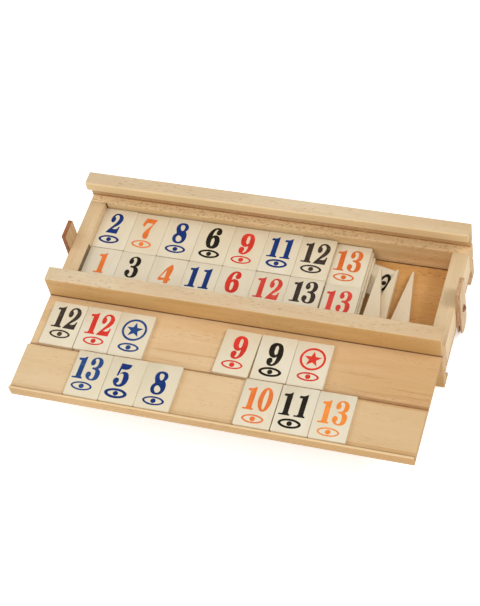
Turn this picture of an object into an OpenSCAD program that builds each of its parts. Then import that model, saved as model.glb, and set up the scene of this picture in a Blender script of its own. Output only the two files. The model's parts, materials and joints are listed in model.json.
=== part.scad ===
// Wooden rummy tile case: a rail-sided tray of numbered tiles, with one tile
// rack docked in the slot of its front rail and three rack feet in the tray.
// Millimetres. X runs along the rails, Y from front to back, Z up.
// The origin is the middle of the whole outline on the table.

/* [Case] */
// Length of the rails, floor and rack
case_l = 300; // [290:5:330]
// Depth of the case over both rails
case_d = 105; // [105:1:106]
// Height of the rails
case_h = 61; // [61:0.5:62]
// Thickness of each rail
rail_t = 12; // [12:0.1:12.4]
// Thickness of each end wall
wall_t = 12.2; // [11.5:0.1:12.2]
// Thickness of the floor board
floor_t = 3.6; // [3:0.1:3.6]

/* [Grooves] */
// Height of the rail lip above the lid groove
lip_h = 8; // [7.5:0.1:8]
// Height of the groove that takes two racks as a lid
lid_groove_h = 13.6; // [13.4:0.1:14]
// Depth of the lid groove and of the bottom groove
groove_depth = 5.6; // [5.6:0.1:6]
// Height of the groove under the floor that stores a rack
bottom_groove_h = 10; // [9.4:0.1:10]
// Height of the rail lip below the bottom groove
bottom_lip_h = 2.6; // [2.4:0.1:2.8]
// Depth of the rebate that holds the edges of the floor
floor_rebate = 2.5; // [1.5:0.1:2.5]
// Depth of the docking slots in the outer faces of the rails
dock_depth = 4; // [3.9:0.1:4.2]
// Height of the lower docking slot above the table
low_dock_z = 17.6; // [17:0.1:18]

/* [Rack] */
// How far the docked rack reaches in front of the case
rack_reach = 87.4; // [87.3:0.1:88]
// Height of the docked rack's flat underside above the table
rack_z = 37.3; // [37:0.1:37.4]
// Thickness of the rack at its upper tile bed
rack_thin = 3.7; // [3.5:0.1:3.7]
// Thickness of the rack at its lower tile bed
rack_thick = 7.1; // [6.6:0.1:7.1]
// Height of the rack's front lip above the lower bed
rack_lip_h = 2; // [1:0.1:2.2]
// Width of the rack's front lip
rack_lip_w = 1.7; // [1.2:0.1:1.7]
// Distance of the step between the beds from the case
rack_step = 47.3; // [47.2:0.1:47.4]
// Radius of the cove at the foot of the step
rack_cove_r = 2.6; // [1:0.1:2.6]

/* [Tiles] */
// Width of a tile
tile_w = 26.6; // [26:0.1:26.6]
// Length of a tile
tile_l = 37.7; // [37:0.1:37.7]
// Thickness of a tile
tile_t = 3.5; // [3.2:0.1:3.5]
// Radius of a tile's corners
tile_corner_r = 1.6; // [0.5:0.1:3]
// Chamfer along a tile's edges
tile_chamfer = 0.35; // [0.1:0.05:0.6]
// Spacing of the tiles in a row
tile_pitch = 26.8; // [26.8:0.01:26.9]

/* [Feet] */
// Length of a rack foot from its tip to its base
foot_l = 62; // [58:1:62]
// Width of a rack foot at its base
foot_base = 18.4; // [16:0.1:18.4]
// Width of a rack foot at its tip
foot_tip = 1.2; // [1:0.1:1.6]
// Thickness of a rack foot
foot_t = 5; // [4.5:0.1:5]

/* [Latches] */
// Length of a latch
latch_l = 53; // [50:0.5:53.5]
// Width of a latch
latch_w = 16; // [14:0.5:16]
// Thickness of a latch
latch_t = 3.5; // [3:0.1:4]
// Width of the kerf in a latch's rounded end
kerf_w = 1.4; // [1:0.1:1.5]
// Depth of the kerf in a latch's rounded end
kerf_depth = 14.5; // [10:0.5:15]
// Height of the latch pivots above the table
pivot_z = 28.2; // [28:0.1:29]
// Diameter of the latch screws' heads
screw_head_d = 6; // [5:0.1:7]
// Diameter of the latch screws' plain shanks
screw_d = 3.4; // [3:0.1:4]

/* [Hidden] */
$fn = 48;

// Heights on the case
floor_z = bottom_lip_h + bottom_groove_h;
tray_z = floor_z + floor_t;
ledge_z = case_h - lip_h - lid_groove_h;
rail_edge_r = 1.2;
// Room that lets a rack slide in a docking slot
slot_play = 0.1;
dock_z = rack_z - slot_play;
dock_h = rack_thin + 2 * slot_play;
// A cut runs this far past the face that it opens
past = 1;

// Dowels that join the end walls to the rails
dowel_r = 3;
dowel_play = 0.05;
dowel_in_rail = 7;
dowel_l = 28;
dowel_heights = [22.6, 33];
// Room left at the bottom of a blind hole
hole_end_gap = 0.4;

// Latches and their screws
latch_gap = 0.3;
latch_rise = latch_l / 2;
screw_play = 0.05;
screw_head_h = 2;
screw_slot_w = 0.9;
screw_slot_depth = 0.8;
shank_in_wall = 1;
core_r = 1.4;
core_l = 9.5;
core_point_h = 2;
core_point_r = 0.35;

// Tiles in the tray
columns = 8;
layers = 4;
rows_front = 16.4;
rows_back = 54.35;
wall_gap = 0.3;
tray_start = wall_t + wall_gap;
// The last tile of the back row lies one layer lower than the others
back_columns_top = 7;
// How far the last tile of the front row has slipped
front_end_slip = [1.3, -1.8];
// How far each layer has slipped from the top one
layer_shift = [[1.6, -1.8], [2.4, -3.2], [1.1, -0.7], [0, 0]];
// Largest unevenness of a row of top tiles
row_jog = 0.22;
jog_turn = 137;
// The tile that lies askew under the right end of the stack
skew_corner = [247.6, 81.8];
skew_angle = -13;

// Tiles on the rack, two groups on each bed: left edge and turn of each tile
rack_group_x = [[8.0, 35.1, 62.0], [143.1, 170.9, 197.8], [42.9, 69.8, 96.6], [170.6, 198.0, 224.9]];
rack_group_turn = [[-0.6, 0, 0.4], [-1.4, 0.5, 0.9], [-0.3, 0, 0.3], [0, 0.3, 0.5]];
group_size = 3;
upper_groups = 2;
rack_tiles = group_size * len(rack_group_x);
upper_row_y = -45;
lower_row_y = -85.4;

// Feet in the tray
foot_3_tip = [259.4, 83];
foot_2_tip = [248.9, 79.5];
foot_2_yaw = -8.2;
foot_2_pitch = 5.1;
foot_1_offset = [-11.3, -5.2];
foot_1_yaw = 11.6;
rest_gap = 0.05;

// Everything is drawn from the outer front corner of the case, then moved to the origin
middle_y = (case_d - rack_reach) / 2;
module place() {
    translate([-case_l / 2, -middle_y, 0]) children();
}

// Carries a profile drawn in Y and Z along X
module along_x(length) {
    rotate([90, 0, 90]) linear_extrude(length) children();
}

module rounded_rect(size, r) {
    translate([r, 0]) square([size[0] - 2 * r, size[1]]);
    translate([0, r]) square([size[0], size[1] - 2 * r]);
    for (x = [r, size[0] - r], y = [r, size[1] - r]) translate([x, y]) circle(r);
}

module chamfered_rect(size, c) {
    polygon([
        [c, 0], [size[0] - c, 0], [size[0], c], [size[0], size[1] - c],
        [size[0] - c, size[1]], [c, size[1]], [0, size[1] - c], [0, c]
    ]);
}

// Rails: one profile, mirrored for the back
module rail_profile() {
    difference() {
        rounded_rect([rail_t, case_h], rail_edge_r);
        translate([rail_t - groove_depth, ledge_z]) square([groove_depth + past, lid_groove_h]);
        translate([rail_t - groove_depth, bottom_lip_h]) square([groove_depth + past, bottom_groove_h]);
        translate([rail_t - floor_rebate, floor_z - past]) square([floor_rebate + past, floor_t + past]);
        for (z = [dock_z, low_dock_z]) translate([-past, z]) square([dock_depth + past, dock_h]);
    }
}

module dowel_holes() {
    for (x = [wall_t / 2, case_l - wall_t / 2], z = dowel_heights)
        translate([x, rail_t - dowel_in_rail - hole_end_gap, z])
            rotate([-90, 0, 0])
                cylinder(h = dowel_l + 2 * hole_end_gap, r = dowel_r + dowel_play);
}

module rail() {
    difference() {
        along_x(case_l) rail_profile();
        dowel_holes();
    }
}

module to_back() {
    translate([0, case_d, 0]) mirror([0, 1, 0]) children();
}

module front_rail() {
    color("burlywood") place() rail();
}

module back_rail() {
    color("burlywood") place() to_back() rail();
}

// End walls between the rails, on the floor board
module end_wall() {
    difference() {
        translate([0, rail_t, tray_z]) cube([wall_t, case_d - 2 * rail_t, ledge_z - tray_z]);
        dowel_holes();
        to_back() dowel_holes();
        translate([0, case_d / 2, pivot_z]) rotate([0, 90, 0]) {
            translate([0, 0, -past])
                cylinder(h = past + shank_in_wall + hole_end_gap, r = screw_d / 2 + screw_play);
            cylinder(h = shank_in_wall + core_l + hole_end_gap, r = core_r + screw_play);
        }
    }
}

module to_right() {
    translate([case_l, 0, 0]) mirror([1, 0, 0]) children();
}

module left_end_wall() {
    color("tan") place() end_wall();
}

module right_end_wall() {
    color("tan") place() to_right() end_wall();
}

module floor_board() {
    color("peru") place()
        translate([0, rail_t - floor_rebate, floor_z])
            cube([case_l, case_d - 2 * (rail_t - floor_rebate), floor_t]);
}

// Fluted beech dowels, shown as their bearing cylinders with chamfered ends
module dowel() {
    chamfer = 0.8;
    rotate([-90, 0, 0]) {
        cylinder(h = chamfer, r1 = dowel_r - chamfer, r2 = dowel_r);
        translate([0, 0, chamfer]) cylinder(h = dowel_l - 2 * chamfer, r = dowel_r);
        translate([0, 0, dowel_l - chamfer]) cylinder(h = chamfer, r1 = dowel_r, r2 = dowel_r - chamfer);
    }
}

module dowel_row() {
    for (x = [wall_t / 2, case_l - wall_t / 2], z = dowel_heights)
        translate([x, rail_t - dowel_in_rail, z]) dowel();
}

module wall_dowels() {
    color("wheat") place() {
        dowel_row();
        to_back() dowel_row();
    }
}

// Latches: square above, rounded below, with a kerf in the rounded end
module latch_outline() {
    r = latch_w / 2;
    translate([-r, r - latch_rise]) square([latch_w, latch_l - r]);
    translate([0, r - latch_rise]) circle(r);
}

module latch() {
    translate([-latch_gap - latch_t, case_d / 2, pivot_z])
        difference() {
            along_x(latch_t) latch_outline();
            translate([(latch_t - kerf_w) / 2, -latch_w, -latch_rise - past])
                cube([kerf_w, 2 * latch_w, kerf_depth + past]);
            rotate([0, 90, 0]) translate([0, 0, -past])
                cylinder(h = latch_t + 2 * past, r = screw_d / 2 + screw_play);
        }
}

module latch_left() {
    color("sienna") place() latch();
}

module latch_right() {
    color("sienna") place() to_right() latch();
}

// Round-head wood screw on which a latch turns
module screw_head() {
    dome_r = (pow(screw_head_d / 2, 2) + pow(screw_head_h, 2)) / (2 * screw_head_h);
    difference() {
        intersection() {
            cylinder(h = screw_head_h, r = screw_head_d / 2);
            translate([0, 0, screw_head_h - dome_r]) sphere(dome_r);
        }
        translate([-screw_head_d, -screw_slot_w / 2, screw_head_h - screw_slot_depth])
            cube([2 * screw_head_d, screw_slot_w, screw_slot_depth + past]);
    }
}

module latch_screw() {
    under_head = latch_gap + latch_t + screw_play;
    core_end = -under_head - shank_in_wall - core_l;
    translate([-under_head, case_d / 2, pivot_z]) rotate([0, -90, 0]) {
        screw_head();
        translate([0, 0, -under_head - shank_in_wall])
            cylinder(h = under_head + shank_in_wall, r = screw_d / 2);
        translate([0, 0, core_end + core_point_h]) cylinder(h = core_l - core_point_h, r = core_r);
        translate([0, 0, core_end]) cylinder(h = core_point_h, r1 = core_point_r, r2 = core_r);
    }
}

module latch_screw_left() {
    color("goldenrod") place() latch_screw();
}

module latch_screw_right() {
    color("goldenrod") place() to_right() latch_screw();
}

// Rack: a thin upper bed, a cove and step up to a lower bed, and a lip at the front
module rack_profile() {
    back = dock_depth - 2 * slot_play;
    step_top = rack_thick - rack_thin;
    difference() {
        union() {
            translate([-rack_reach, 0]) square([rack_reach + back, rack_thin]);
            translate([-rack_reach, 0]) square([rack_reach - rack_step + rack_cove_r, rack_thick]);
            translate([-rack_reach, 0]) square([rack_lip_w, rack_thick + rack_lip_h]);
        }
        translate([-rack_step + rack_cove_r, rack_thin + rack_cove_r]) circle(rack_cove_r);
        translate([-rack_step, rack_thin + rack_cove_r])
            square([rack_cove_r + past, step_top - rack_cove_r + past]);
    }
}

module rack_board() {
    color("navajowhite") place() translate([0, 0, rack_z]) along_x(case_l) rack_profile();
}

// Tiles: rounded corners and chamfered edges
module tile() {
    intersection() {
        linear_extrude(tile_t) rounded_rect([tile_w, tile_l], tile_corner_r);
        along_x(tile_w) chamfered_rect([tile_l, tile_t], tile_chamfer);
        translate([0, tile_l, 0]) rotate([90, 0, 0])
            linear_extrude(tile_l) chamfered_rect([tile_w, tile_t], tile_chamfer);
    }
}

function jog(i) = row_jog * sin(jog_turn * i);
function column_x(i) = tray_start + (i - 1) * tile_pitch;
function layer_z(layer) = tray_z + (layer - 1) * tile_t;

module tray_tile(x, y, layer) {
    translate([x, y, layer_z(layer)]) tile();
}

module back_tile(i) {
    layer = i > back_columns_top ? layers : layers + 1;
    color("cornsilk") place() tray_tile(column_x(i), rows_back + jog(i), layer);
}

module front_tile(i) {
    slip = i == columns ? front_end_slip : [0, -abs(jog(i + columns))];
    color("cornsilk") place() tray_tile(column_x(i) + slip[0], rows_front + slip[1], layers + 1);
}

// The lowest layer has the skewed tile in place of its last back tile,
// and the last back tile of the highest one is one of the top tiles
module tile_layer(layer) {
    shift = layer_shift[layer - 1];
    whole = layer > 1 && layer < layers;
    color("cornsilk") place() for (i = [1:columns]) {
        tray_tile(column_x(i) + shift[0], rows_front + shift[1], layer);
        if (whole || i <= back_columns_top) tray_tile(column_x(i) + shift[0], rows_back + shift[1], layer);
    }
}

module skewed_tile() {
    color("cornsilk") place()
        translate([skew_corner[0], skew_corner[1], tray_z])
            rotate(skew_angle - 90) mirror([0, 1, 0]) tile();
}

module rack_tile(i) {
    group = floor((i - 1) / group_size);
    seat = (i - 1) % group_size;
    upper = group < upper_groups;
    middle = [tile_w / 2, tile_l / 2];
    y = upper ? upper_row_y : lower_row_y;
    bed = upper ? rack_thin : rack_thick;
    color("cornsilk") place()
        translate([rack_group_x[group][seat] + middle[0], y + middle[1], rack_z + bed])
            rotate(rack_group_turn[group][seat]) translate([-middle[0], -middle[1], 0]) tile();
}

// Rack feet: slim wedges, tip to the back
module foot() {
    linear_extrude(foot_t)
        polygon([
            [-foot_tip / 2, 0], [foot_tip / 2, 0],
            [foot_base / 2, -foot_l], [-foot_base / 2, -foot_l]
        ]);
}

// The plane of the foot that leans over the skewed tile
module leaning_plane() {
    rise = foot_l * sin(foot_2_pitch);
    translate([foot_2_tip[0], foot_2_tip[1], tray_z + rise + rest_gap])
        rotate([0, 0, foot_2_yaw]) rotate([foot_2_pitch, 0, 0]) children();
}

module foot_1() {
    color("bisque") place() leaning_plane()
        translate([foot_1_offset[0], foot_1_offset[1], foot_t + rest_gap]) rotate(foot_1_yaw) foot();
}

module foot_2() {
    color("bisque") place() leaning_plane() foot();
}

module foot_3() {
    color("bisque") place() translate([foot_3_tip[0], foot_3_tip[1], tray_z]) foot();
}

front_rail();
back_rail();
left_end_wall();
right_end_wall();
floor_board();
wall_dowels();
latch_left();
latch_right();
latch_screw_left();
latch_screw_right();
rack_board();
foot_1();
foot_2();
foot_3();
skewed_tile();
for (i = [1:rack_tiles]) rack_tile(i);
for (i = [1:columns]) back_tile(i);
for (i = [1:columns]) front_tile(i);
for (i = [1:layers]) tile_layer(i);
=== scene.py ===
import json
import math

import bmesh
import bpy
from mathutils import Matrix, Vector, noise


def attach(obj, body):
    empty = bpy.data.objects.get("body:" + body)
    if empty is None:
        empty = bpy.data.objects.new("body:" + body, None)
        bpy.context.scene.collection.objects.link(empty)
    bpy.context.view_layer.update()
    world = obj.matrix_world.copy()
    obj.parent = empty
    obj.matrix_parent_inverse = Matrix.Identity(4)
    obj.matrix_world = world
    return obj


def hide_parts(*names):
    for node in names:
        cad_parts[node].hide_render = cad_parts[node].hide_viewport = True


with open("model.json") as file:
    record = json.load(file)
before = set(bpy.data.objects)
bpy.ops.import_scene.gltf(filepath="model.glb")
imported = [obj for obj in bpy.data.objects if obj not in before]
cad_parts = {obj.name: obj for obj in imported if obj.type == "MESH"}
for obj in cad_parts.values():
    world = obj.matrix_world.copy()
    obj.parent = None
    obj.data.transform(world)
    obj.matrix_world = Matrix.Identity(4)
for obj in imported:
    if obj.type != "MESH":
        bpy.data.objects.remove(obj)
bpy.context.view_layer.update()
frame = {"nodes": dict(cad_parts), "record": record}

MM = 0.001
TAU = 2 * math.pi
NODES = frame["nodes"]

# Camera: rows are its right, up and back directions in the row frame.
CAMERA_PLACE = (0.32926, -0.62807, 1.01592)
CAMERA_RIGHT = (0.949748, 0.278067, -0.143726)
CAMERA_UP = (-0.148015, 0.803551, 0.576539)
CAMERA_BACK = (0.275808, -0.526293, 0.804329)
CAMERA_LENS = 97.963
SENSOR = 36.0

# Light: the even white surroundings, and how far the floor is lightened for the camera.
WHITE = (1.0, 1.0, 1.0, 1.0)
WORLD_COLOUR = (1.0, 0.99, 0.97, 1.0)
WORLD_LIGHT = 0.5
FLOOR_HALF = 6.0
FLOOR_GREYS = ((0.93, 0.93, 0.93, 1.0), (0.95, 0.95, 0.95, 1.0))
FLOOR_LIFT = 0.48

# Each soft light: the direction in which it shines, its strength and its spread in degrees.
SUNS = {
    "left": ((0.62, 0.1, -0.78), 0.45, 30),
    "right": ((-0.64, -0.06, -0.76), 1.0, 22),
    "front": ((0.05, 0.74, -0.67), 0.95, 60),
}

# Meshes: points nearer than WELD are one, faces that turn less than FLAT_ANGLE are one,
# corners above SHARP_ANGLE are eased, and those above CREASE_ANGLE stay a crease when drawn.
WELD = 2e-6
FLAT_ANGLE = math.radians(0.4)
SHARP_ANGLE = math.radians(34)
CREASE_ANGLE = math.radians(38)

# How far the corners of each piece are eased. Those within END_NEAR of its ends along X are eased
# END_EASE times as far.
END_EASE = 2.0
END_NEAR = 0.05 * MM
EASE_STEPS = 3
EASE_CASE = 0.6 * MM
EASE_RACK = 0.35 * MM
EASE_LATCH = 0.4 * MM
EASE_FOOT = 0.3 * MM
EASE_TILE = 0.08 * MM

# Tiles: radius of the outline's corners, and steps of their arcs.
TILE_CORNER = 0.8 * MM
CORNER_STEPS = 4
# Points of a tile's solid above its lower edge by this much lie on its full outline.
TILE_RIM = 0.2 * MM
# An edge of a tile's outline longer than this is one of its four sides.
SIDE_LEAST = 5 * MM

# Ink stands this far out of a tile's face, and reaches this far into it.
INK_RAISE = 0.03 * MM
INK_SINK = 0.02 * MM

# Drawing of the prints, in millimetres from a tile's lower left corner.
TILE_MIDDLE = (13.3, 18.85)
EDGE_WOBBLE = 0.06
EDGE_WAVES = 1.7
WOBBLE_STEP = 3.7
RING_RADII = (8.15, 3.65)
RING_WEIGHT = 1.3
RING_GROWTH = 0.6
RING_SIDES = 1.25
RING_POINTS = (1.08, 1.15)
RING_STEPS = 64
DOT_ROOM = 0.25
DOT_RADIUS = 1.95
DOT_STEPS = 36
JOKER_RADII = (9.5, 7.75)
JOKER_CENTRE = (13.9, 23.7)
JOKER_STEPS = 80
STAR_RADII = (6.7, 2.75)
STAR_CORNERS = 10
ZERO_STEPS = 56
SMOOTH_STEPS = 7
TINY = 1e-6

# Colours of the surfaces, as sRGB.
WOOD_BLUSH = (226, 176, 138)
WOOD_FLECK = (176, 122, 74)
TILE_CREAM = ((233, 225, 205), (225, 213, 187))
TILE_GRAIN = (205, 184, 150)
TILE_SPECK = (170, 145, 110)
# Painted shade on the sides of the tiles.
TILE_SIDE_SHADE = (222, 202, 166)
INK_RUBBED = (222, 205, 176)
PLY_SPECK = (96, 48, 30)
BRASS = ((170, 116, 78), (84, 54, 40))

# Colour of each ink, and how much of it has rubbed off.
INKS = {
    "black": ((30, 25, 18), 0.06),
    "grey": ((56, 47, 40), 0.22),
    "red": ((204, 52, 40), 0.1),
    "rose": ((206, 66, 54), 0.16),
    "blue": ((18, 48, 110), 0.06),
    "faded": ((34, 66, 122), 0.16),
    "orange": ((220, 114, 52), 0.12),
    "rust": ((206, 102, 46), 0.1),
    "amber": ((230, 134, 56), 0.16),
}


def linear(colour):
    """An sRGB colour of three whole numbers as a linear RGBA value."""
    out = []
    for channel in colour:
        c = channel / 255
        out.append(c / 12.92 if c <= 0.04045 else ((c + 0.055) / 1.055) ** 2.4)
    return (*out, 1.0)


class Net:
    """Builds the nodes of one material."""

    def __init__(self, name):
        self.material = bpy.data.materials.new(name)
        self.material.use_nodes = True
        self.tree = self.material.node_tree
        self.tree.nodes.clear()

    def add(self, kind, settings=None, values=None):
        made = self.tree.nodes.new(kind)
        for key, value in (settings or {}).items():
            setattr(made, key, value)
        for key, value in (values or {}).items():
            self.put(made.inputs[key], value)
        return made

    def put(self, socket, value):
        if isinstance(value, bpy.types.NodeSocket):
            self.tree.links.new(value, socket)
        else:
            socket.default_value = value

    def math(self, operation, *values, clamp=False):
        made = self.add("ShaderNodeMath", {"operation": operation, "use_clamp": clamp})
        for socket, value in zip(made.inputs, values):
            self.put(socket, value)
        return made.outputs[0]

    def vector(self, operation, *values):
        made = self.add("ShaderNodeVectorMath", {"operation": operation})
        for socket, value in zip(made.inputs, values):
            self.put(socket, value)
        return made.outputs[0]

    def mix(self, factor, first, second, blend="MIX"):
        """Two colours mixed; this node has its colours at inputs 6 and 7 and its result at output 2."""
        made = self.add("ShaderNodeMix", {"data_type": "RGBA", "blend_type": blend})
        self.put(made.inputs[0], factor)
        self.put(made.inputs[6], first)
        self.put(made.inputs[7], second)
        return made.outputs[2]

    def step(self, value, low, high):
        """0 below low, 1 above high, smooth between."""
        made = self.add("ShaderNodeMapRange", {"interpolation_type": "SMOOTHSTEP"})
        self.put(made.inputs["Value"], value)
        self.put(made.inputs["From Min"], low)
        self.put(made.inputs["From Max"], high)
        return made.outputs["Result"]

    def noise(self, vector, scale, detail=2.0, rough=0.5):
        values = {"Vector": vector, "Scale": scale, "Detail": detail, "Roughness": rough}
        return self.add("ShaderNodeTexNoise", None, values).outputs[0]

    def drawn(self, vector, scales, detail=2.0, rough=0.5):
        """Noise with a scale of its own along each axis, in waves per metre."""
        return self.noise(self.vector("MULTIPLY", vector, scales), 1.0, detail, rough)

    def parts(self, vector):
        return self.add("ShaderNodeSeparateXYZ", None, {0: vector}).outputs

    def finish(self, colour, rough, height, relief, gloss, metal=0.0):
        """Closes the material with one surface shader and its bump."""
        bump = self.add("ShaderNodeBump", None, {"Height": height, "Strength": 1.0, "Distance": relief})
        values = {"Base Color": colour, "Roughness": rough, "Metallic": metal, "Normal": bump.outputs[0]}
        shader = self.add("ShaderNodeBsdfPrincipled", None, values)
        shader.inputs["Specular IOR Level"].default_value = gloss
        out = self.add("ShaderNodeOutputMaterial")
        self.put(out.inputs[0], shader.outputs[0])
        return self.material


def turned(net, vector, axis):
    """The coordinates with the grain along X: swaps the named axis with X."""
    if axis == "X":
        return vector
    parts = net.parts(vector)
    order = {"Y": (1, 0, 2), "Z": (2, 1, 0)}[axis]
    return net.add("ShaderNodeCombineXYZ", None, dict(enumerate(parts[i] for i in order))).outputs[0]


def coordinate(net, axis):
    """One object coordinate in millimetres."""
    place = net.add("ShaderNodeTexCoord").outputs["Object"]
    return net.math("MULTIPLY", net.parts(place)["XYZ".index(axis)], 1 / MM)


def stripe(net, axis, low, high, soft):
    """1 between two planes of the row frame, in millimetres, fading over soft outside them."""
    at = coordinate(net, axis)
    rise = net.step(at, low - soft, low)
    fall = net.step(at, high, high + soft)
    return net.math("MULTIPLY", rise, net.math("SUBTRACT", 1.0, fall))


def spot(net, centre, radii):
    """1 at a point of the XY plane, fading to 0 at an ellipse round it, in millimetres."""
    parts = []
    for axis, middle, radius in zip("XY", centre, radii):
        away = net.math("DIVIDE", net.math("SUBTRACT", coordinate(net, axis), middle), radius)
        parts.append(net.math("POWER", away, 2.0))
    return net.math("SUBTRACT", 1.0, net.step(net.math("ADD", *parts), 0.0, 1.0))


def wood_grain(net, p, rings):
    """Late wood of the rings, fine fibres, and the tone from light 0 to dark 1."""
    broad = net.drawn(p, (7.0, 48.0, 48.0), 3.0, 0.55)
    streak = net.drawn(p, (11.0, 330.0, 330.0))
    fibre = net.drawn(p, (60.0, 1500.0, 1500.0), 3.0, 0.6)
    bent = net.math("ADD", broad, net.math("MULTIPLY", streak, 0.1))
    wave = net.math("FRACT", net.math("MULTIPLY", bent, 9.0))
    fall = net.math("SUBTRACT", 1.0, net.step(wave, 0.92, 1.0))
    late = net.math("MULTIPLY", net.step(wave, 0.3, 0.9), fall)
    clouds = net.math("MULTIPLY", net.step(broad, 0.3, 0.72), 0.75)
    tone = net.math("ADD", net.math("MULTIPLY", late, rings), clouds)
    for layer, weight in ((streak, 0.5), (fibre, 0.42)):
        tone = net.math("ADD", tone, net.math("MULTIPLY", net.math("SUBTRACT", layer, 0.5), weight))
    return late, fibre, net.math("MAXIMUM", net.math("MINIMUM", tone, 1.0), 0.0)


def wood_flecks(net, p, strength):
    """Depth of the short dark rays of beech, which come in patches."""
    dash = net.step(net.drawn(p, (240.0, 1700.0, 1700.0), 1.0, 0.4), 0.6, 0.72)
    where = net.step(net.drawn(p, (22.0, 90.0, 90.0)), 0.42, 0.66)
    return net.math("MULTIPLY", net.math("MULTIPLY", dash, net.math("ADD", 0.25, where)), strength)


def wood(name, top, side, end, axis="X", seed=0.0, flecks=0.5, rings=0.16, marks=()):
    """Beech with its grain along an axis.

    Top, side and end are pairs of light and dark for faces up, to the side and across the grain. Where the
    side pair is lighter or darker than the top, that is painted light and shade.
    """
    net = Net(name)
    place = net.add("ShaderNodeTexCoord")
    p = turned(net, place.outputs["Object"], axis)
    normal = net.parts(turned(net, place.outputs["Normal"], axis))
    info = net.add("ShaderNodeObjectInfo").outputs["Random"]
    offset = net.add("ShaderNodeCombineXYZ", None, {0: info, 1: seed, 2: seed}).outputs[0]
    p = net.vector("ADD", p, offset)
    late, fibre, tone = wood_grain(net, p, rings)
    # Top and side colours chosen by facing: the side colours carry painted light and shade.
    upright = net.step(net.math("ABSOLUTE", normal[2]), 0.45, 0.85)
    light = net.mix(upright, linear(side[0]), linear(top[0]))
    dark = net.mix(upright, linear(side[1]), linear(top[1]))
    face = net.mix(tone, light, dark)
    flush = net.step(net.drawn(p, (16.0, 60.0, 60.0)), 0.5, 0.75)
    face = net.mix(net.math("MULTIPLY", flush, 0.35), face, net.mix(0.5, face, linear(WOOD_BLUSH)))
    depth = wood_flecks(net, p, flecks)
    face = net.mix(depth, face, net.mix(1.0, face, linear(WOOD_FLECK), "MULTIPLY"))
    pore = net.step(net.noise(p, 2600.0, 2.0, 0.6), 0.5, 0.68)
    shade = net.math("ADD", net.math("MULTIPLY", late, 0.4), net.math("MULTIPLY", pore, 0.6), clamp=True)
    cut = net.mix(shade, linear(end[0]), linear(end[1]))
    colour = net.mix(net.step(net.math("ABSOLUTE", normal[0]), 0.72, 0.93), face, cut)
    for mask, strength, paint in (make(net) for make in marks):
        colour = net.mix(net.math("MULTIPLY", mask, strength), colour, linear(paint))
    height = net.math("SUBTRACT", net.math("MULTIPLY", fibre, 0.7), net.math("MULTIPLY", depth, 0.6))
    rough = net.math("ADD", 0.46, net.math("MULTIPLY", fibre, 0.22))
    return net.finish(colour, rough, height, relief=0.0001, gloss=0.25)


def zone_mark(limits, soft, strength, paint, even=0.55):
    """A mark of wood() inside limits along some axes, broken up a little where even is below 1."""
    def make(net):
        place = net.add("ShaderNodeTexCoord").outputs["Object"]
        uneven = net.math("MULTIPLY", net.noise(place, 130.0), 1.9 * (1 - even))
        mask = net.math("ADD", even, uneven, clamp=True)
        for axis, (low, high) in limits.items():
            mask = net.math("MULTIPLY", mask, stripe(net, axis, low, high, soft))
        return mask, strength, paint
    return make


def side_mark(start, end, strength, paint):
    """A mark of wood() that grows along X."""
    def make(net):
        return net.step(coordinate(net, "X"), start, end), strength, paint
    return make


def spot_mark(centre, radii, strength, paint):
    """A mark of wood() round a point of the XY plane."""
    def make(net):
        place = net.add("ShaderNodeTexCoord").outputs["Object"]
        uneven = net.math("ADD", 0.6, net.math("MULTIPLY", net.noise(place, 260.0, 3.0), 0.6))
        return net.math("MULTIPLY", spot(net, centre, radii), uneven, clamp=True), strength, paint
    return make


def fleck_mark(limits, scale, least, strength, paint):
    """A mark of wood() made of loose specks inside limits along some axes."""
    def make(net):
        place = net.add("ShaderNodeTexCoord").outputs["Object"]
        mask = net.step(net.drawn(place, scale), least, least + 0.07)
        for axis, (low, high) in limits.items():
            mask = net.math("MULTIPLY", mask, stripe(net, axis, low, high, 0.5))
        return mask, strength, paint
    return make


def tile_wood(name, tint):
    """Cream tile: close grain, faint specks, each tile its own share of the tint."""
    net = Net(name)
    place = net.add("ShaderNodeTexCoord")
    p = place.outputs["Object"]
    info = net.add("ShaderNodeObjectInfo").outputs["Random"]
    offset = net.add("ShaderNodeCombineXYZ", None, {0: info, 1: info, 2: 0.0}).outputs[0]
    p = net.vector("ADD", p, offset)
    grain = net.drawn(p, (900.0, 45.0, 900.0), 3.0, 0.6)
    cloud = net.drawn(p, (70.0, 30.0, 70.0), 3.0, 0.6)
    colour = net.mix(net.step(cloud, 0.3, 0.75), linear(TILE_CREAM[0]), linear(TILE_CREAM[1]))
    warm = net.math("ADD", 0.15, net.math("MULTIPLY", net.step(info, 0.2, 1.0), 0.4))
    colour = net.mix(warm, colour, linear(tint))
    line = net.math("MULTIPLY", net.step(grain, 0.55, 0.75), 0.14)
    colour = net.mix(line, colour, linear(TILE_GRAIN))
    speck = net.step(net.noise(p, 1300.0), 0.72, 0.8)
    colour = net.mix(net.math("MULTIPLY", speck, 0.25), colour, linear(TILE_SPECK))
    # Sides painted a little darker, as painted shade.
    upright = net.parts(place.outputs["Normal"])[2]
    side = net.math("SUBTRACT", 1.0, net.step(upright, 0.3, 0.75))
    colour = net.mix(net.math("MULTIPLY", side, 0.35), colour, linear(TILE_SIDE_SHADE))
    rough = net.math("ADD", 0.4, net.math("MULTIPLY", cloud, 0.2))
    return net.finish(colour, rough, grain, relief=0.00004, gloss=0.25)


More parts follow.
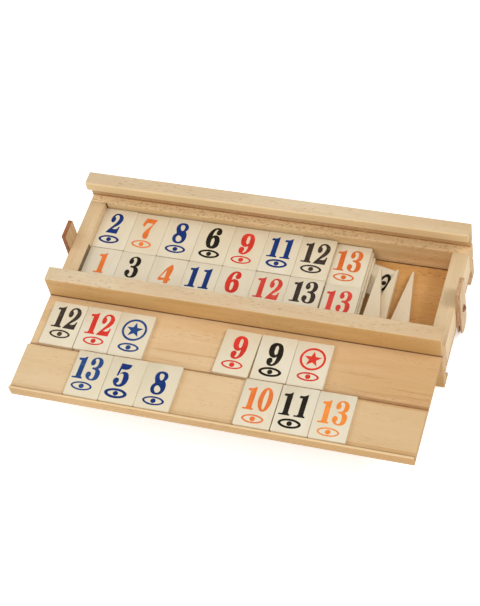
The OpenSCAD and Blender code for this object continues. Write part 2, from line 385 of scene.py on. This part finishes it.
def ink(name, colour, worn):
    """Printed ink with a mottled, slightly rubbed face."""
    net = Net(name)
    place = net.add("ShaderNodeTexCoord").outputs["Object"]
    blot = net.noise(place, 420.0, 4.0, 0.65)
    patch = net.noise(place, 95.0, 3.0, 0.6)
    pale = linear([min(255, int(c * 1.06 + 6)) for c in colour])
    face = net.mix(net.step(patch, 0.35, 0.7), linear(colour), pale)
    rub = net.math("MULTIPLY", net.step(blot, 0.55, 0.8), worn)
    face = net.mix(rub, face, linear(INK_RUBBED))
    rough = net.math("ADD", 0.5, net.math("MULTIPLY", blot, 0.2))
    return net.finish(face, rough, blot, relief=0.00003, gloss=0.12)


def ply(name, face, edge, strength):
    """Thin ply: smooth faces, darker speckled edges with fine layers."""
    net = Net(name)
    place = net.add("ShaderNodeTexCoord")
    p = place.outputs["Object"]
    flow = net.drawn(p, (40.0, 260.0, 22.0), 3.0, 0.55)
    fibre = net.drawn(p, (900.0, 900.0, 60.0), 2.0, 0.6)
    flat = net.mix(net.step(flow, 0.35, 0.7), linear(face[0]), linear(face[1]))
    flat = net.mix(net.math("MULTIPLY", net.step(fibre, 0.6, 0.75), 0.25), flat, linear(edge[1]))
    layers = net.drawn(p, (1400.0, 90.0, 90.0))
    rim = net.mix(net.step(layers, 0.35, 0.65), linear(edge[0]), linear(edge[1]))
    grit = net.step(net.noise(p, 900.0, 3.0, 0.65), 0.5, 0.62)
    patchy = net.step(net.noise(p, 120.0), 0.35, 0.6)
    dirt = net.math("MULTIPLY", net.math("MULTIPLY", grit, patchy), strength)
    rim = net.mix(dirt, rim, linear(PLY_SPECK))
    broadside = net.parts(place.outputs["Normal"])[0]
    colour = net.mix(net.step(net.math("ABSOLUTE", broadside), 0.6, 0.9), rim, flat)
    rough = net.math("ADD", 0.48, net.math("MULTIPLY", fibre, 0.2))
    return net.finish(colour, rough, fibre, relief=0.00008, gloss=0.25)


def brass(name):
    """Dark reddish brass with fine turning marks and tarnish."""
    net = Net(name)
    place = net.add("ShaderNodeTexCoord").outputs["Object"]
    tarnish = net.noise(place, 700.0, 3.0, 0.6)
    colour = net.mix(net.step(tarnish, 0.4, 0.65), linear(BRASS[0]), linear(BRASS[1]))
    rough = net.math("ADD", 0.32, net.math("MULTIPLY", tarnish, 0.25))
    return net.finish(colour, rough, tarnish, relief=0.00003, gloss=0.5, metal=0.8)


def bare_mesh(name, bm):
    """A new mesh with only the shape of bm."""
    bm.verts.ensure_lookup_table()
    bm.verts.index_update()
    points = [v.co.copy() for v in bm.verts]
    faces = [[v.index for v in f.verts] for f in bm.faces]
    mesh = bpy.data.meshes.new(name)
    mesh.from_pydata(points, [], faces)
    mesh.update()
    return mesh


def add_object(name, data):
    """A new object in the scene."""
    made = bpy.data.objects.new(name, data)
    bpy.context.scene.collection.objects.link(made)
    return made


def final_mesh(piece):
    """A new mesh of an object as it is with its modifiers, or of a curve."""
    bpy.context.view_layer.update()
    graph = bpy.context.evaluated_depsgraph_get()
    return bpy.data.meshes.new_from_object(piece.evaluated_get(graph))


def smooth_faces(mesh):
    """Smooth shading, with the corners left as creases."""
    for polygon in mesh.polygons:
        polygon.use_smooth = True
    mesh.set_sharp_from_angle(angle=CREASE_ANGLE)


def eased(node, ease):
    """A copy of a CAD node with its sharp corners eased, those of its ends along X the most."""
    bm = bmesh.new()
    bm.from_mesh(NODES[node].data)
    bmesh.ops.remove_doubles(bm, verts=bm.verts, dist=WELD)
    bmesh.ops.dissolve_limit(bm, angle_limit=FLAT_ANGLE, verts=bm.verts, edges=bm.edges)
    mesh = bare_mesh("shown_" + node, bm)
    bm.free()
    weigh_edges(mesh)
    piece = add_object("shown_" + node, mesh)
    bevel = piece.modifiers.new("ease", "BEVEL")
    bevel.limit_method = "WEIGHT"
    bevel.width = ease * END_EASE
    bevel.segments = EASE_STEPS
    bevel.use_clamp_overlap = True
    done = final_mesh(piece)
    piece.modifiers.clear()
    piece.data = done
    smooth_faces(done)
    return piece


def heights(points):
    """The lowest and the highest Z of some points."""
    return min(p.z for p in points), max(p.z for p in points)


def tile_outline(points):
    """The middle of a tile's full outline, and its four straight sides in order as pairs of points."""
    low, high = heights(points)
    rim = [p for p in points if low + TILE_RIM < p.z < (low + high) / 2]
    middle = sum(rim, Vector()) / len(rim)
    rim.sort(key=lambda p: math.atan2(p.y - middle.y, p.x - middle.x))
    pairs = zip(rim, rim[1:] + rim[:1])
    return middle, [(a, b) for a, b in pairs if (b - a).length > SIDE_LEAST]


def corner_arc(side, following):
    """Points of the small round corner between two sides, and the way inward from both."""
    along = (side[1] - side[0]).normalized()
    onward = (following[1] - following[0]).normalized()
    corner = side[1] + along * (following[0] - side[1]).dot(along)
    arc = []
    for step in range(CORNER_STEPS + 1):
        turn = TAU / 4 * step / CORNER_STEPS
        before = along * TILE_CORNER * (1 - math.sin(turn))
        after = onward * TILE_CORNER * (1 - math.cos(turn))
        arc.append(corner - before + after)
    return arc, onward - along


def tile_levels(points):
    """Levels of one tile: its outline with small round corners, drawn in at the very edges."""
    low, high = heights(points)
    sides = tile_outline(points)[1]
    arcs = [corner_arc(*pair) for pair in zip(sides, sides[1:] + sides[:1])]
    levels = []
    for height, inset in (
        (low, EASE_TILE),
        (low + EASE_TILE, 0.0),
        (high - EASE_TILE, 0.0),
        (high, EASE_TILE),
    ):
        level = []
        for arc, inward in arcs:
            level += [Vector((p.x + inward.x * inset, p.y + inward.y * inset, height)) for p in arc]
        levels.append(level)
    return levels


def tile_turn(node):
    """The middle of a tile's top face, and its turn from upright, within a quarter turn."""
    points = [v.co for v in NODES[node].data.vertices]
    middle, sides = tile_outline(points)
    a, b = max(sides, key=lambda side: (side[1] - side[0]).length)
    turn = math.atan2(b.y - a.y, b.x - a.x) - TAU / 4
    if turn <= -TAU / 4:
        turn += TAU / 2
    return Vector((middle.x, middle.y, heights(points)[1])), turn


def loose_parts(bm):
    """The vertices of each separate solid of a mesh."""
    left = set(bm.verts)
    parts = []
    while left:
        open_ends = [left.pop()]
        part = []
        while open_ends:
            vert = open_ends.pop()
            part.append(vert)
            for edge in vert.link_edges:
                other = edge.other_vert(vert)
                if other in left:
                    left.remove(other)
                    open_ends.append(other)
        parts.append(part)
    return parts


def crisp_tiles(node):
    """A copy of a node of flat tiles, each with crisp, barely eased edges."""
    source = bmesh.new()
    source.from_mesh(NODES[node].data)
    bmesh.ops.remove_doubles(source, verts=source.verts, dist=WELD)
    source.verts.ensure_lookup_table()
    made = bmesh.new()
    # From left to right, so that the order is the same in each run.
    for part in sorted(loose_parts(source), key=lambda part: min(v.co.x * 3 + v.co.y for v in part)):
        levels = [[made.verts.new(p) for p in level] for level in tile_levels([v.co for v in part])]
        made.faces.new(reversed(levels[0]))
        made.faces.new(levels[-1])
        for lower, upper in zip(levels, levels[1:]):
            for i in range(len(lower)):
                made.faces.new((lower[i - 1], lower[i], upper[i], upper[i - 1]))
    source.free()
    mesh = bare_mesh("shown_" + node, made)
    made.free()
    smooth_faces(mesh)
    return add_object("shown_" + node, mesh)


def weigh_edges(mesh):
    """Bevel weights: 1 on sharp edges of the ends along X, less on other sharp edges, 0 on smooth ones."""
    bm = bmesh.new()
    bm.from_mesh(mesh)
    low = min(v.co.x for v in bm.verts) + END_NEAR
    high = max(v.co.x for v in bm.verts) - END_NEAR
    layer = bm.edges.layers.float.new("bevel_weight_edge")
    for edge in bm.edges:
        if len(edge.link_faces) != 2 or edge.calc_face_angle(0.0) < SHARP_ANGLE:
            continue
        places = [v.co.x for v in edge.verts]
        at_end = max(places) < low or min(places) > high
        edge[layer] = 1.0 if at_end else 1.0 / END_EASE
    bm.to_mesh(mesh)
    bm.free()


def body_of(node):
    """The body that carries a node."""
    for body, members in frame["record"]["behaviour"]["bodies"].items():
        if node in members:
            return body
    return None


def coat(mesh, material):
    """Gives a mesh one material alone."""
    mesh.materials.clear()
    mesh.materials.append(material)


def show(node, ease, material):
    """Stands an eased copy in for a CAD node, or crisp tiles where there is no ease."""
    piece = eased(node, ease) if ease else crisp_tiles(node)
    coat(piece.data, material)
    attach(piece, body_of(node))
    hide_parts(node)


# Digit outlines in millimetres: x from the digit's left edge, y up from its base.
# A point that ends in C is a corner. Holes come after the outer outline.
# The 6 is the 9 turned over. The 0 is two ellipses, each with its centre and radii.
C = True
ONE = [
    [(0.0, 0.1, C), (7.9, 0.1, C), (7.9, 1.3, C), (6.8, 1.75), (6.6, 2.9, C), (6.65, 19.35, C),
     (5.9, 18.9), (4.6, 18.0), (3.2, 17.5), (1.1, 17.35), (0.6, 16.8), (0.75, 15.8), (1.4, 15.4),
     (2.7, 15.6, C), (2.75, 14.6, C), (2.75, 2.9, C), (2.55, 1.75), (0.0, 1.3, C)],
]
TWO = [
    [(0.93, 12.9), (1.4, 16.2), (3.2, 18.6), (5.7, 19.25), (8.6, 18.1), (10.3, 15.1), (10.0, 11.6),
     (8.3, 8.4), (5.9, 5.9), (4.4, 4.25, C), (7.0, 4.2), (8.2, 4.9), (8.75, 6.8, C), (9.9, 7.0, C),
     (9.35, 0.0, C), (0.0, 0.0, C), (0.5, 1.1), (2.3, 4.2), (4.2, 7.3), (6.0, 10.6), (6.9, 13.4),
     (6.85, 15.8), (6.0, 17.4), (4.9, 17.8), (3.7, 17.2), (3.1, 15.9, C), (4.1, 14.9), (4.5, 13.0),
     (3.9, 11.0), (2.6, 10.2), (1.35, 11.1)],
]
THREE = [
    [(0.65, 14.8), (1.3, 17.7), (3.1, 19.4), (5.4, 20.0), (8.1, 19.1), (9.7, 16.7), (9.75, 13.8),
     (8.8, 11.6), (7.5, 10.6, C), (9.1, 9.4), (10.1, 6.9), (10.1, 4.6), (9.5, 2.1), (7.5, 0.4),
     (5.1, 0.0), (2.4, 0.6), (0.6, 2.3), (0.0, 4.6), (0.5, 6.3), (2.0, 7.1), (3.5, 6.1), (3.85, 4.2),
     (3.1, 2.5, C), (3.9, 1.5), (5.2, 1.2), (6.2, 2.3), (6.5, 4.3), (6.4, 6.7), (5.8, 8.7), (4.6, 9.4),
     (3.4, 9.5), (2.95, 10.3), (3.5, 11.1), (4.9, 11.2), (5.9, 12.1), (6.4, 13.9), (6.4, 16.2),
     (5.9, 18.0), (4.9, 18.7), (3.6, 18.3), (3.2, 17.1, C), (4.0, 16.2), (4.2, 14.6), (3.5, 13.0),
     (2.3, 12.5), (1.1, 13.3)],
]
FOUR = [
    [(8.0, 17.8), (8.6, 16.9), (8.6, 4.7, C), (9.6, 4.7), (9.95, 3.7), (9.6, 2.8), (8.6, 2.7, C),
     (8.6, 0.1, C), (5.1, 0.1, C), (5.1, 2.7, C), (0.4, 2.7), (0.0, 3.7), (0.5, 4.8), (7.3, 17.3)],
    [(5.1, 12.2, C), (5.1, 4.7, C), (1.6, 4.7, C)],
]
FIVE = [
    [(2.1, 19.8, C), (10.1, 19.6, C), (9.6, 17.4), (8.5, 15.8), (6.6, 14.9), (4.2, 14.9), (3.2, 15.0, C),
     (2.45, 9.6, C), (3.8, 11.9), (5.9, 13.1), (8.8, 12.4), (10.4, 9.6), (10.7, 6.7), (9.8, 3.2),
     (7.7, 0.8), (4.8, 0.0), (2.0, 0.8), (0.35, 3.1), (0.0, 5.3), (1.7, 7.4), (3.4, 7.1), (4.15, 5.1),
     (3.7, 3.5), (3.1, 2.7, C), (4.0, 1.9), (5.0, 1.9), (6.2, 3.1), (6.5, 6.0), (6.4, 8.9), (5.6, 11.1),
     (4.4, 11.3), (3.0, 10.4), (2.3, 9.1, C), (1.15, 9.0, C)],
]
SEVEN = [
    [(0.95, 19.4, C), (9.85, 19.2, C), (7.6, 13.0), (6.7, 9.4), (6.5, 5.7), (6.6, 2.2), (5.8, 0.1),
     (3.7, 0.0), (2.4, 1.5), (2.1, 4.4), (3.0, 7.6), (4.8, 10.6), (6.9, 14.5), (6.9, 15.0, C),
     (2.6, 14.9), (1.9, 14.2), (1.5, 11.9), (0.8, 11.2), (0.0, 11.8)],
]
EIGHT = [
    [(5.4, 19.8), (8.3, 19.0), (9.95, 16.5), (9.85, 14.0), (8.7, 12.1, C), (9.9, 10.2), (10.6, 7.2),
     (10.3, 4.0), (8.7, 1.2), (5.4, 0.0), (1.8, 1.0), (0.15, 3.7), (0.0, 6.1), (0.9, 8.3), (1.9, 9.3, C),
     (1.6, 10.8), (0.6, 13.6), (0.7, 16.5), (2.4, 19.0)],
    [(5.0, 17.9), (6.7, 17.0), (7.1, 14.8), (6.6, 12.9), (5.8, 12.2), (4.3, 13.7), (3.6, 15.8),
     (3.9, 17.4)],
    [(4.0, 7.7), (6.0, 6.9), (7.3, 5.2), (7.4, 3.4), (6.3, 1.95), (4.6, 1.8), (3.2, 3.3), (2.8, 6.0)],
]
NINE = [
    [(5.4, 20.1), (8.3, 19.1), (10.2, 15.8), (10.8, 11.9), (10.4, 6.9), (9.0, 3.2), (6.8, 0.8),
     (4.0, 0.0), (1.5, 1.1), (0.55, 3.6), (0.8, 5.8), (2.2, 6.9), (4.0, 6.5), (4.7, 4.7), (4.2, 2.7),
     (3.8, 2.1, C), (4.7, 1.7), (5.8, 2.6), (6.7, 5.1), (6.9, 8.6, C), (6.1, 7.7), (4.4, 7.2), (1.9, 8.3),
     (0.35, 11.1), (0.0, 14.4), (0.65, 17.6), (2.6, 19.6)],
    [(5.4, 17.8), (6.4, 16.5), (6.65, 13.6), (6.5, 10.8), (5.6, 9.9), (4.5, 11.1), (4.2, 14.0),
     (4.5, 16.7)],
]
ZERO = [((4.95, 10.0), (4.95, 10.05)), ((4.9, 10.0), (1.5, 8.3))]


def turned_over(outlines):
    """A digit turned by half a turn about its middle."""
    wide = max(p[0] for p in outlines[0])
    high = max(p[1] for p in outlines[0])
    return [[(wide - p[0], high - p[1], *p[2:]) for p in loop] for loop in outlines]


DIGITS = {
    "1": ONE, "2": TWO, "3": THREE, "4": FOUR, "5": FIVE,
    "6": turned_over(NINE), "7": SEVEN, "8": EIGHT, "9": NINE,
}


def ellipse(centre, radii, steps, power=1.0):
    """A closed line of points round an ellipse; power above 1 draws its ends to a point."""
    points = []
    for i in range(steps):
        a = TAU * i / steps
        s = math.sin(a)
        y = math.copysign(abs(s) ** power, s)
        points.append((centre[0] + radii[0] * math.cos(a), centre[1] + radii[1] * y))
    return points


def smooth(loop):
    """Points along a closed outline: a smooth curve through its points, broken at the corners."""
    count = len(loop)
    points = []
    for i in range(count):
        before, start, end, after = (loop[(i + k) % count] for k in (-1, 0, 1, 2))
        a = Vector(start[:2])
        b = Vector(end[:2])
        points.append((a.x, a.y))
        if len(start) > 2 and len(end) > 2:
            continue
        chord = b - a
        go = chord if len(start) > 2 else tangent(before, start, end) * chord.length
        come = chord if len(end) > 2 else tangent(start, end, after) * chord.length
        for k in range(1, SMOOTH_STEPS):
            t = k / SMOOTH_STEPS
            h = ((1 + 2 * t) * (1 - t) ** 2, t * (1 - t) ** 2, t * t * (3 - 2 * t), t * t * (t - 1))
            at = a * h[0] + go * h[1] + b * h[2] + come * h[3]
            points.append((at.x, at.y))
    return points


def tangent(before, middle, after):
    """Unit direction of the curve at a smooth point."""
    a = Vector(middle[:2]) - Vector(before[:2])
    b = Vector(after[:2]) - Vector(middle[:2])
    along = a * b.length / max(a.length, TINY) + b * a.length / max(b.length, TINY)
    return along.normalized()


def digit_loops(digit, at):
    """A digit's outlines with its left edge and base at a point."""
    if digit == "0":
        loops = [ellipse(centre, radii, ZERO_STEPS) for centre, radii in ZERO]
    else:
        loops = [smooth(loop) for loop in DIGITS[digit]]
    return [[(x + at[0], y + at[1]) for x, y in loop] for loop in loops]


def star_loops(centre):
    """A plain five-pointed star in a ring."""
    star = []
    for i in range(STAR_CORNERS):
        a = TAU * i / STAR_CORNERS + TAU / 4
        r = STAR_RADII[i % 2]
        star.append((centre[0] + r * math.cos(a), centre[1] + r * math.sin(a)))
    return [ellipse(centre, (radius, radius), JOKER_STEPS) for radius in JOKER_RADII] + [star]


def ring_loops(centre, line):
    """The flat ring with a dot under each digit. A heavier line also grows outward."""
    line = line * RING_WEIGHT
    grow = RING_GROWTH * (line - RING_WEIGHT)
    outer = (RING_RADII[0] + grow, RING_RADII[1] + grow)
    inner = (outer[0] - line * RING_SIDES, max(outer[1] - line, DOT_RADIUS + DOT_ROOM))
    rings = zip((outer, inner), RING_POINTS)
    loops = [ellipse(centre, radii, RING_STEPS, power) for radii, power in rings]
    return loops + [ellipse(centre, (DOT_RADIUS, DOT_RADIUS), DOT_STEPS)]


def print_ink(tile, loops, material, seed):
    """One raised ink print lying on a tile's top face."""
    middle, turn = tile_turn(tile)
    curve = bpy.data.curves.new("ink_" + tile, "CURVE")
    curve.dimensions = "2D"
    curve.fill_mode = "BOTH"
    curve.extrude = (INK_RAISE + INK_SINK) / 2
    for loop in loops:
        spline = curve.splines.new("POLY")
        spline.points.add(len(loop) - 1)
        for point, (x, y) in zip(spline.points, loop):
            rough = noise.noise(Vector((x * EDGE_WAVES, y * EDGE_WAVES, seed))) * EDGE_WOBBLE
            point.co = ((x - TILE_MIDDLE[0] + rough) * MM, (y - TILE_MIDDLE[1] + rough) * MM, 0.0, 1.0)
        spline.use_cyclic_u = True
    holder = add_object("holder_" + tile, curve)
    mesh = final_mesh(holder)
    bpy.data.objects.remove(holder)
    lift = Vector((0, 0, (INK_RAISE - INK_SINK) / 2))
    mesh.transform(Matrix.Translation(middle + lift) @ Matrix.Rotation(turn, 4, "Z"))
    coat(mesh, material)
    piece = add_object("ink_" + tile, mesh)
    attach(piece, body_of(tile))


# Tiles that have yellowed.
AGED_TILES = ("back_tile_8",)

# Each print: tile, what is on it, colour, x of each sign, base of the signs, centre and line of the ring.
# A joker has a star in place of digits.
PRINTS = [
    ("rack_tile_1", "12", "grey", (3.9, 13.2), 15.4, (13.2, 10.0), 1.0),
    ("rack_tile_2", "12", "red", (3.9, 13.2), 14.4, (13.2, 8.9), 0.9),
    ("rack_tile_3", "*", "faded", (), 0.0, (13.9, 8.3), 1.1),
    ("rack_tile_4", "9", "red", (8.4,), 13.3, (12.6, 8.3), 0.9),
    ("rack_tile_5", "9", "black", (7.8,), 12.4, (13.1, 7.5), 1.4),
    ("rack_tile_6", "*", "red", (), 0.0, (13.8, 8.8), 1.0),
    ("rack_tile_7", "13", "faded", (1.5, 11.2), 14.2, (11.3, 8.5), 1.0),
    ("rack_tile_8", "5", "blue", (5.9,), 12.9, (11.1, 7.4), 1.6),
    ("rack_tile_9", "8", "blue", (8.0,), 11.9, (13.1, 6.7), 1.0),
    ("rack_tile_10", "10", "orange", (3.2, 12.9), 13.0, (13.0, 6.2), 0.9),
    ("rack_tile_11", "11", "black", (2.2, 13.2), 13.5, (11.9, 7.5), 1.3),
    ("rack_tile_12", "13", "amber", (3.5, 13.2), 12.6, (13.0, 6.2), 0.8),
    ("back_tile_1", "2", "blue", (6.45,), 14.6, (11.4, 8.5), 1.2),
    ("back_tile_2", "7", "orange", (7.8,), 14.2, (11.6, 8.8), 0.9),
    ("back_tile_3", "8", "blue", (7.1,), 13.9, (12.4, 8.5), 1.1),
    ("back_tile_4", "6", "black", (7.1,), 13.9, (12.8, 8.8), 1.3),
    ("back_tile_5", "9", "red", (7.2,), 12.9, (12.0, 7.8), 0.9),
    ("back_tile_6", "11", "blue", (3.2, 13.6), 14.2, (12.8, 8.9), 1.3),
    ("back_tile_7", "12", "grey", (3.4, 13.0), 14.3, (13.0, 8.9), 1.1),
    ("back_tile_8", "13", "rust", (1.7, 11.5), 13.6, (11.3, 8.0), 0.9),
    ("front_tile_1", "1", "orange", (9.2,), 14.6, (13.0, 8.9), 1.0),
    ("front_tile_2", "3", "black", (7.2,), 14.5, (13.0, 8.9), 1.0),
    ("front_tile_3", "4", "orange", (7.6,), 14.4, (13.0, 8.9), 1.0),
    ("front_tile_4", "11", "blue", (2.9, 13.7), 14.5, (13.0, 8.9), 1.0),
    ("front_tile_5", "6", "red", (6.6,), 14.7, (13.0, 8.9), 1.0),
    ("front_tile_6", "12", "rose", (2.9, 12.6), 14.5, (13.0, 8.9), 1.0),
    ("front_tile_7", "13", "grey", (4.1, 13.0), 15.8, (13.0, 8.9), 1.0),
    ("front_tile_8", "13", "rose", (1.9, 11.9), 13.6, (13.0, 8.9), 1.0),
    ("skewed_tile", "6", "black", (8.2,), 16.0, (13.2, 5.2), 1.8),
]


def print_all(inks):
    """Puts every print on its tile."""
    for i, (tile, signs, colour, places, base, ring, line) in enumerate(PRINTS):
        loops = []
        if signs == "*":
            loops += star_loops(JOKER_CENTRE)
        for sign, x in zip(signs, places):
            loops += digit_loops(sign, (x, base))
        loops += ring_loops(ring, line)
        print_ink(tile, loops, inks[colour], i * WOBBLE_STEP)


def rail_marks(inner, groove):
    """Marks of a rail, from the Y of its inner face and of its lid groove's wall, in millimetres."""
    wall = (groove - 0.7, groove + 0.7)
    ledge = (min(inner, groove) - 1.0, max(inner, groove) + 1.0)
    near = (inner - 0.6, inner + 0.6)
    fibres = {"Y": ledge, "Z": (38.6, 46.0)}
    chips = {"Y": ledge, "Z": (38.8, 41.0), "X": (60.0, 150.0)}
    corner = {"Y": near, "Z": (28.0, 39.0), "X": (-138.6, -136.9)}
    slot = {"Z": (41.2, 41.7)}
    return [
        # Painted shade in the lid groove, painted light on the lip and on the ledge.
        zone_mark({"Y": wall, "Z": (39.6, 53.0)}, 0.4, 0.5, (160, 104, 60), 0.5),
        zone_mark({"Y": near, "Z": (53.2, 60.6)}, 0.5, 0.6, (246, 218, 168), 0.8),
        zone_mark({"Y": ledge, "Z": (39.0, 39.8)}, 0.3, 0.75, (250, 218, 166), 0.6),
        # Torn fibres and chips on the ledge, and a darker right half.
        fleck_mark(fibres, (420.0, 1100.0, 1100.0), 0.56, 0.55, (156, 110, 56)),
        fleck_mark(chips, (420.0, 900.0, 900.0), 0.55, 0.5, (240, 216, 180)),
        side_mark(0.0, 160.0, 0.3, (196, 150, 88)),
        # Painted shade in the corner gap at the left end wall, and a painted shade line along the docking
        # slot.
        zone_mark(corner, 0.5, 0.9, (56, 36, 12), 0.9),
        zone_mark(slot, 0.5, 0.75, (120, 74, 40)),
    ]


def dress_rails():
    top = ((222, 202, 169), (208, 181, 143))
    end = ((222, 190, 146), (176, 134, 92))
    # Sides painted: paler on the back rail as painted light, darker golden on the front rail as painted
    # shade.
    pale = ((236, 210, 166), (220, 188, 138))
    golden_shade = ((222, 184, 126), (200, 158, 98))
    back = wood("rail_beech_back", top, pale, end, seed=0.4, flecks=0.4, marks=rail_marks(84.2, 89.8))
    front = wood("rail_beech_front", top, golden_shade, end, flecks=0.4, marks=rail_marks(3.2, -2.4))
    show("front_rail", EASE_CASE, front)
    show("back_rail", EASE_CASE, back)


def dress_walls():
    top = ((222, 196, 156), (208, 178, 134))
    # Sides painted paler than the tops, as painted light.
    side = ((236, 210, 172), (222, 194, 150))
    end = ((206, 176, 138), (176, 134, 92))
    corner = {"X": (-138.6, -137.0), "Y": (5.0, 44.0), "Z": (30.0, 38.0)}
    marks = [
        # Painted shadow of the right latch on the wall top.
        spot_mark((144.5, 41.8), (9.0, 9.5), 0.1, (132, 104, 66)),
        # Painted shade in the slit along the inner face of the left wall.
        zone_mark(corner, 0.6, 0.8, (52, 34, 14)),
    ]
    wall = wood("wall_beech", top, side, end, axis="Y", seed=0.7, flecks=0.25, marks=marks)
    for node in ("left_end_wall", "right_end_wall"):
        show(node, EASE_CASE, wall)
    plain = ((214, 184, 140), (190, 154, 108))
    coat(NODES["wall_dowels"].data, wood("dowel_wood", plain, plain, ((200, 168, 126), (160, 126, 88))))


def dress_floor_board():
    top = ((224, 176, 112), (206, 152, 88))
    side = ((196, 150, 98), (170, 124, 76))
    end = ((180, 140, 96), (140, 100, 62))
    # Painted shadow in the gap along the back wall.
    marks = [zone_mark({"Y": (83.4, 84.4)}, 0.5, 0.85, (74, 38, 18))]
    board = wood("floor_wood", top, side, end, seed=1.9, flecks=0.75, marks=marks)
    show("floor_board", EASE_CASE, board)


# Latches: faces and edges as light and dark, and how much the edges are speckled.
LATCHES = {
    "left": (((214, 184, 142), (198, 164, 120)), ((172, 112, 74), (140, 84, 54)), 0.85),
    "right": (((222, 194, 154), (210, 178, 138)), ((208, 172, 136), (190, 148, 108)), 0.5),
}


def dress_latches():
    for side, (face, edge, strength) in LATCHES.items():
        latch = ply("latch_ply_" + side, face, edge, strength)
        show("latch_" + side, EASE_LATCH, latch)
    screw = brass("screw_brass")
    for node in ("latch_screw_left", "latch_screw_right"):
        coat(NODES[node].data, screw)


def rack_marks():
    """Marks of the rack, at places in millimetres."""
    left = {"Y": (-54.0, -40.0), "X": (-70.0, 0.0)}
    right = {"Y": (-54.0, -34.0), "X": (50.0, 150.0)}
    return [
        # Darker to the right, paler lower bed, and a painted highlight on the lip top.
        side_mark(-170.0, 170.0, 0.22, (196, 150, 92)),
        side_mark(30.0, 160.0, 0.42, (198, 150, 90)),
        zone_mark({"Y": (-90.0, -58.0), "Z": (44.0, 45.0)}, 0.6, 0.35, (234, 208, 166), 0.8),
        zone_mark({"Z": (46.1, 46.8)}, 0.2, 0.6, (240, 212, 166), 0.8),
        # Long darker streaks at the step: grain, and painted shade of the cove.
        fleck_mark(left, (8.0, 240.0, 240.0), 0.5, 0.45, (182, 134, 84)),
        fleck_mark(right, (7.0, 260.0, 260.0), 0.54, 0.3, (172, 122, 72)),
        # Painted shade: dark lines along the step, at the front lip and at the docking slot.
        zone_mark({"Y": (-53.9, -53.1)}, 0.7, 0.6, (132, 84, 44)),
        zone_mark({"Y": (-53.9, -51.9), "X": (60.0, 150.0)}, 0.7, 0.5, (142, 92, 50)),
        zone_mark({"Y": (-94.4, -92.9)}, 0.3, 0.55, (150, 104, 62)),
        zone_mark({"Y": (-9.1, -7.0)}, 0.5, 0.8, (96, 52, 26)),
    ]


def dress_rack():
    top = ((228, 198, 156), (214, 178, 130))
    # Sides painted darker and more golden than the top, as painted shade.
    side = ((220, 182, 132), (204, 164, 112))
    end = ((206, 164, 116), (176, 132, 88))
    board = wood("rack_beech", top, side, end, seed=3.1, flecks=0.42, marks=rack_marks())
    show("rack_board", EASE_RACK, board)


def dress_feet():
    pale = ((228, 213, 186), (218, 200, 166))
    end = ((206, 180, 142), (180, 146, 108))
    foot = wood("foot_wood", pale, pale, end, axis="Y", flecks=0.12, rings=0.04)
    for node in ("foot_1", "foot_2", "foot_3"):
        show(node, EASE_FOOT, foot)


def dress_tiles():
    cream = tile_wood("tile_wood", (224, 209, 176))
    aged = tile_wood("tile_wood_aged", (222, 198, 146))
    for node in sorted(NODES):
        if "_tile_" in node or node.startswith("tile_layer") or node == "skewed_tile":
            show(node, 0.0, aged if node in AGED_TILES else cream)
    inks = {key: ink("ink_" + key, colour, worn) for key, (colour, worn) in INKS.items()}
    print_all(inks)


def lay_floor():
    """A white floor: the camera sees it lightened, with the object's shadow still on it."""
    corners = [(x * FLOOR_HALF, y * FLOOR_HALF, 0.0) for x, y in ((-1, -1), (1, -1), (1, 1), (-1, 1))]
    mesh = bpy.data.meshes.new("floor")
    mesh.from_pydata(corners, [], [(0, 1, 2, 3)])
    floor = add_object("floor", mesh)
    net = Net("floor")
    cloud = net.noise(net.add("ShaderNodeTexCoord").outputs["Object"], 3.0)
    material = net.finish(net.mix(cloud, *FLOOR_GREYS), 0.9, cloud, relief=0.00001, gloss=0.1)
    surface = net.tree.nodes["Principled BSDF"]
    surface.inputs["Emission Color"].default_value = WHITE
    path = net.add("ShaderNodeLightPath").outputs
    seen = net.math("MAXIMUM", path["Is Camera Ray"], path["Is Glossy Ray"])
    net.put(surface.inputs["Emission Strength"], net.math("MULTIPLY", seen, FLOOR_LIFT))
    mesh.materials.append(material)


def set_world():
    """Plain white for the camera, a softer white as light."""
    world = bpy.data.worlds.new("world")
    bpy.context.scene.world = world
    world.use_nodes = True
    tree = world.node_tree
    tree.nodes.clear()
    path = tree.nodes.new("ShaderNodeLightPath")
    soft = tree.nodes.new("ShaderNodeBackground")
    soft.inputs["Color"].default_value = WORLD_COLOUR
    soft.inputs["Strength"].default_value = WORLD_LIGHT
    plain = tree.nodes.new("ShaderNodeBackground")
    plain.inputs["Color"].default_value = WHITE
    plain.inputs["Strength"].default_value = 1.0
    mix = tree.nodes.new("ShaderNodeMixShader")
    out = tree.nodes.new("ShaderNodeOutputWorld")
    tree.links.new(path.outputs["Is Camera Ray"], mix.inputs[0])
    tree.links.new(soft.outputs[0], mix.inputs[1])
    tree.links.new(plain.outputs[0], mix.inputs[2])
    tree.links.new(mix.outputs[0], out.inputs[0])


def add_sun(name, direction, strength, spread):
    """A soft light that shines along a direction."""
    data = bpy.data.lights.new(name, "SUN")
    data.energy = strength
    data.angle = math.radians(spread)
    lamp = add_object(name, data)
    lamp.rotation_euler = Vector(direction).to_track_quat("-Z", "Y").to_euler()


def add_camera():
    data = bpy.data.cameras.new("camera")
    data.sensor_width = SENSOR
    data.lens = CAMERA_LENS
    data.clip_end = 20.0
    camera = add_object("camera", data)
    turn = Matrix((CAMERA_RIGHT, CAMERA_UP, CAMERA_BACK)).transposed()
    camera.matrix_world = Matrix.Translation(CAMERA_PLACE) @ turn.to_4x4()
    bpy.context.scene.camera = camera


dress_rails()
dress_walls()
dress_floor_board()
dress_latches()
dress_rack()
dress_feet()
dress_tiles()
lay_floor()
set_world()
for sun, (direction, strength, spread) in SUNS.items():
    add_sun(sun, direction, strength, spread)
add_camera()
bpy.context.scene.view_settings.view_transform = "Standard"
